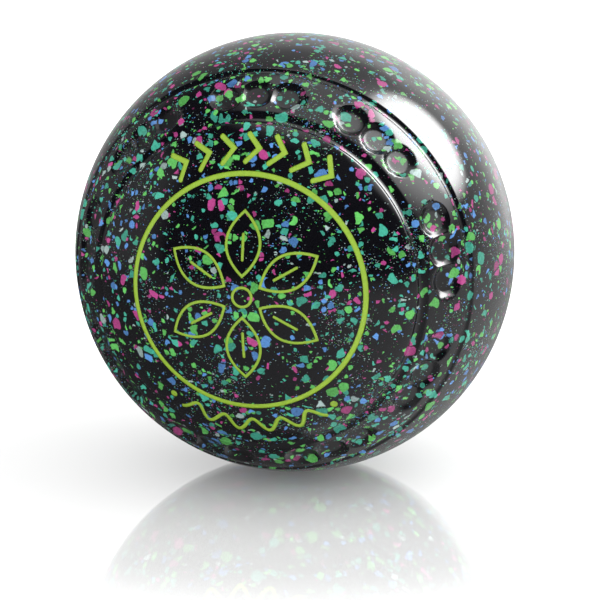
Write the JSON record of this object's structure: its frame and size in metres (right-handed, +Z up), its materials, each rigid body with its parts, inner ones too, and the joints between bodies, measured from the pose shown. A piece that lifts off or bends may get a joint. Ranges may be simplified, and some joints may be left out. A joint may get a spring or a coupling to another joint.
{
  "type": "lawn bowl",
  "caption": "Biased lawn bowl in speckled black resin, with grooved sides, finger dimples and lime enamel set in engraved rings and ornaments.",
  "frame": {"origin": "the point of the running sole that touches the floor, in the plane of the bowl's largest radius", "axes": "+Z up; the running axis lies along Y, with the large-ring side facing -Y and the bias side facing +Y; +X to the right seen from the large-ring side"},
  "size_m": [0.124, 0.1163, 0.124],
  "materials": {
    "resin": "polished black moulded resin with teal, green, blue and pink chips",
    "enamel": "lime enamel set in the engraving, satin"
  },
  "bodies": {
    "root": {"bowl_body": "resin", "chevron_enamel_1_back": "enamel", "chevron_enamel_1_front": "enamel", "chevron_enamel_2_back": "enamel", "chevron_enamel_2_front": "enamel", "chevron_enamel_3_back": "enamel", "chevron_enamel_3_front": "enamel", "chevron_enamel_4_back": "enamel", "chevron_enamel_4_front": "enamel", "chevron_enamel_5_back": "enamel", "chevron_enamel_5_front": "enamel", "chevron_enamel_6_front": "enamel", "chevron_enamel_7_front": "enamel", "hub_enamel_front": "enamel", "petal_enamel_1_back": "enamel", "petal_enamel_1_front": "enamel", "petal_enamel_2_back": "enamel", "petal_enamel_2_front": "enamel", "petal_enamel_3_back": "enamel", "petal_enamel_3_front": "enamel", "petal_enamel_4_back": "enamel", "petal_enamel_4_front": "enamel", "petal_enamel_5_back": "enamel", "petal_enamel_5_front": "enamel", "petal_enamel_6_back": "enamel", "petal_enamel_6_front": "enamel", "ring_enamel_back": "enamel", "ring_enamel_front": "enamel", "size_numeral_enamel_back": "enamel", "vein_enamel_1_front": "enamel", "vein_enamel_2_front": "enamel", "vein_enamel_3_front": "enamel", "vein_enamel_4_front": "enamel", "vein_enamel_5_front": "enamel", "vein_enamel_6_front": "enamel", "wave_dot_enamel_left_back": "enamel", "wave_dot_enamel_left_front": "enamel", "wave_dot_enamel_right_back": "enamel", "wave_dot_enamel_right_front": "enamel", "wave_enamel_back": "enamel", "wave_enamel_front": "enamel"}
  },
  "joints": []
}
